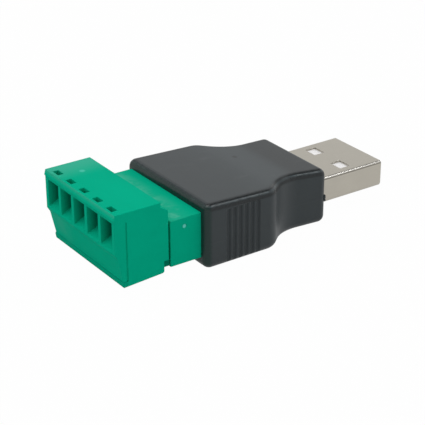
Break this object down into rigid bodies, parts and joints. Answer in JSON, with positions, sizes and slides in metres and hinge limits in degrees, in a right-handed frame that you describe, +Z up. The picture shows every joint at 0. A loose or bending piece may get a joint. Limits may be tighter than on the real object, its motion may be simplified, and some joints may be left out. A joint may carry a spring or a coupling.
{
  "type": "USB plug with pluggable screw terminals",
  "caption": "USB-A plug adapter: a moulded housing joins a metal plug shell to a green screw-terminal plug that slides off its pin header.",
  "frame": {"origin": "middle of the underside of the bounding box", "axes": "+X towards the tip of the metal plug, +Y across, +Z up"},
  "size_m": [0.0526, 0.022, 0.0128],
  "materials": {
    "black_plastic": "fine moulded satin",
    "green_plastic": "moulded satin",
    "nickel_shell": "dull nickel over rolled sheet",
    "white_plastic": "moulded satin",
    "gilt_contact": "thin gilt plating",
    "tinned_pin": "tinned",
    "tinned_contact": "tinned copper alloy",
    "plated_cage": "zinc plate",
    "plated_screw": "zinc plate",
    "board": "glass laminate under solder mask"
  },
  "bodies": {
    "adapter": {"housing": "black_plastic", "pin_header": "green_plastic", "circuit_board": "board", "plug_shell": "nickel_shell", "insulator": "white_plastic", "header_pin_1": "tinned_pin", "header_pin_2": "tinned_pin", "header_pin_3": "tinned_pin", "header_pin_4": "tinned_pin", "header_pin_5": "tinned_pin", "spring_contact_1": "gilt_contact", "spring_contact_2": "gilt_contact", "spring_contact_3": "gilt_contact", "spring_contact_4": "gilt_contact"},
    "terminal_plug": {"terminal_body": "green_plastic", "wire_contact_1": "tinned_contact", "wire_contact_2": "tinned_contact", "wire_contact_3": "tinned_contact", "wire_contact_4": "tinned_contact", "wire_contact_5": "tinned_contact"},
    "screw_1": {"clamp_screw_1": "plated_screw"},
    "cage_1": {"wire_cage_1": "plated_cage"},
    "screw_2": {"clamp_screw_2": "plated_screw"},
    "cage_2": {"wire_cage_2": "plated_cage"},
    "screw_3": {"clamp_screw_3": "plated_screw"},
    "cage_3": {"wire_cage_3": "plated_cage"},
    "screw_4": {"clamp_screw_4": "plated_screw"},
    "cage_4": {"wire_cage_4": "plated_cage"},
    "screw_5": {"clamp_screw_5": "plated_screw"},
    "cage_5": {"wire_cage_5": "plated_cage"}
  },
  "joints": [
    {"name": "plug_slide", "type": "slide", "parent": "adapter", "child": "terminal_plug", "axis": [-1, 0, 0], "range_m": [0, 0.012]},
    {"name": "screw_turn_1", "type": "hinge", "parent": "terminal_plug", "child": "screw_1", "pos_m": [-0.02166, -0.00762, 0.003], "axis": [0, 0, 1], "range_deg": [0, 2160]},
    {"name": "cage_rise_1", "type": "slide", "parent": "terminal_plug", "child": "cage_1", "axis": [0, 0, -1], "range_m": [0, 0.0024]},
    {"name": "screw_turn_2", "type": "hinge", "parent": "terminal_plug", "child": "screw_2", "pos_m": [-0.02166, -0.00381, 0.003], "axis": [0, 0, 1], "range_deg": [0, 2160]},
    {"name": "cage_rise_2", "type": "slide", "parent": "terminal_plug", "child": "cage_2", "axis": [0, 0, -1], "range_m": [0, 0.0024]},
    {"name": "screw_turn_3", "type": "hinge", "parent": "terminal_plug", "child": "screw_3", "pos_m": [-0.02166, 0, 0.003], "axis": [0, 0, 1], "range_deg": [0, 2160]},
    {"name": "cage_rise_3", "type": "slide", "parent": "terminal_plug", "child": "cage_3", "axis": [0, 0, -1], "range_m": [0, 0.0024]},
    {"name": "screw_turn_4", "type": "hinge", "parent": "terminal_plug", "child": "screw_4", "pos_m": [-0.02166, 0.00381, 0.003], "axis": [0, 0, 1], "range_deg": [0, 2160]},
    {"name": "cage_rise_4", "type": "slide", "parent": "terminal_plug", "child": "cage_4", "axis": [0, 0, -1], "range_m": [0, 0.0024]},
    {"name": "screw_turn_5", "type": "hinge", "parent": "terminal_plug", "child": "screw_5", "pos_m": [-0.02166, 0.00762, 0.003], "axis": [0, 0, 1], "range_deg": [0, 2160]},
    {"name": "cage_rise_5", "type": "slide", "parent": "terminal_plug", "child": "cage_5", "axis": [0, 0, -1], "range_m": [0, 0.0024]}
  ],
  "couplings": [
    {"joint": "screw_turn_1", "follows": "cage_rise_1", "rad_per_m": 15708},
    {"joint": "screw_turn_2", "follows": "cage_rise_2", "rad_per_m": 15708},
    {"joint": "screw_turn_3", "follows": "cage_rise_3", "rad_per_m": 15708},
    {"joint": "screw_turn_4", "follows": "cage_rise_4", "rad_per_m": 15708},
    {"joint": "screw_turn_5", "follows": "cage_rise_5", "rad_per_m": 15708}
  ]
}
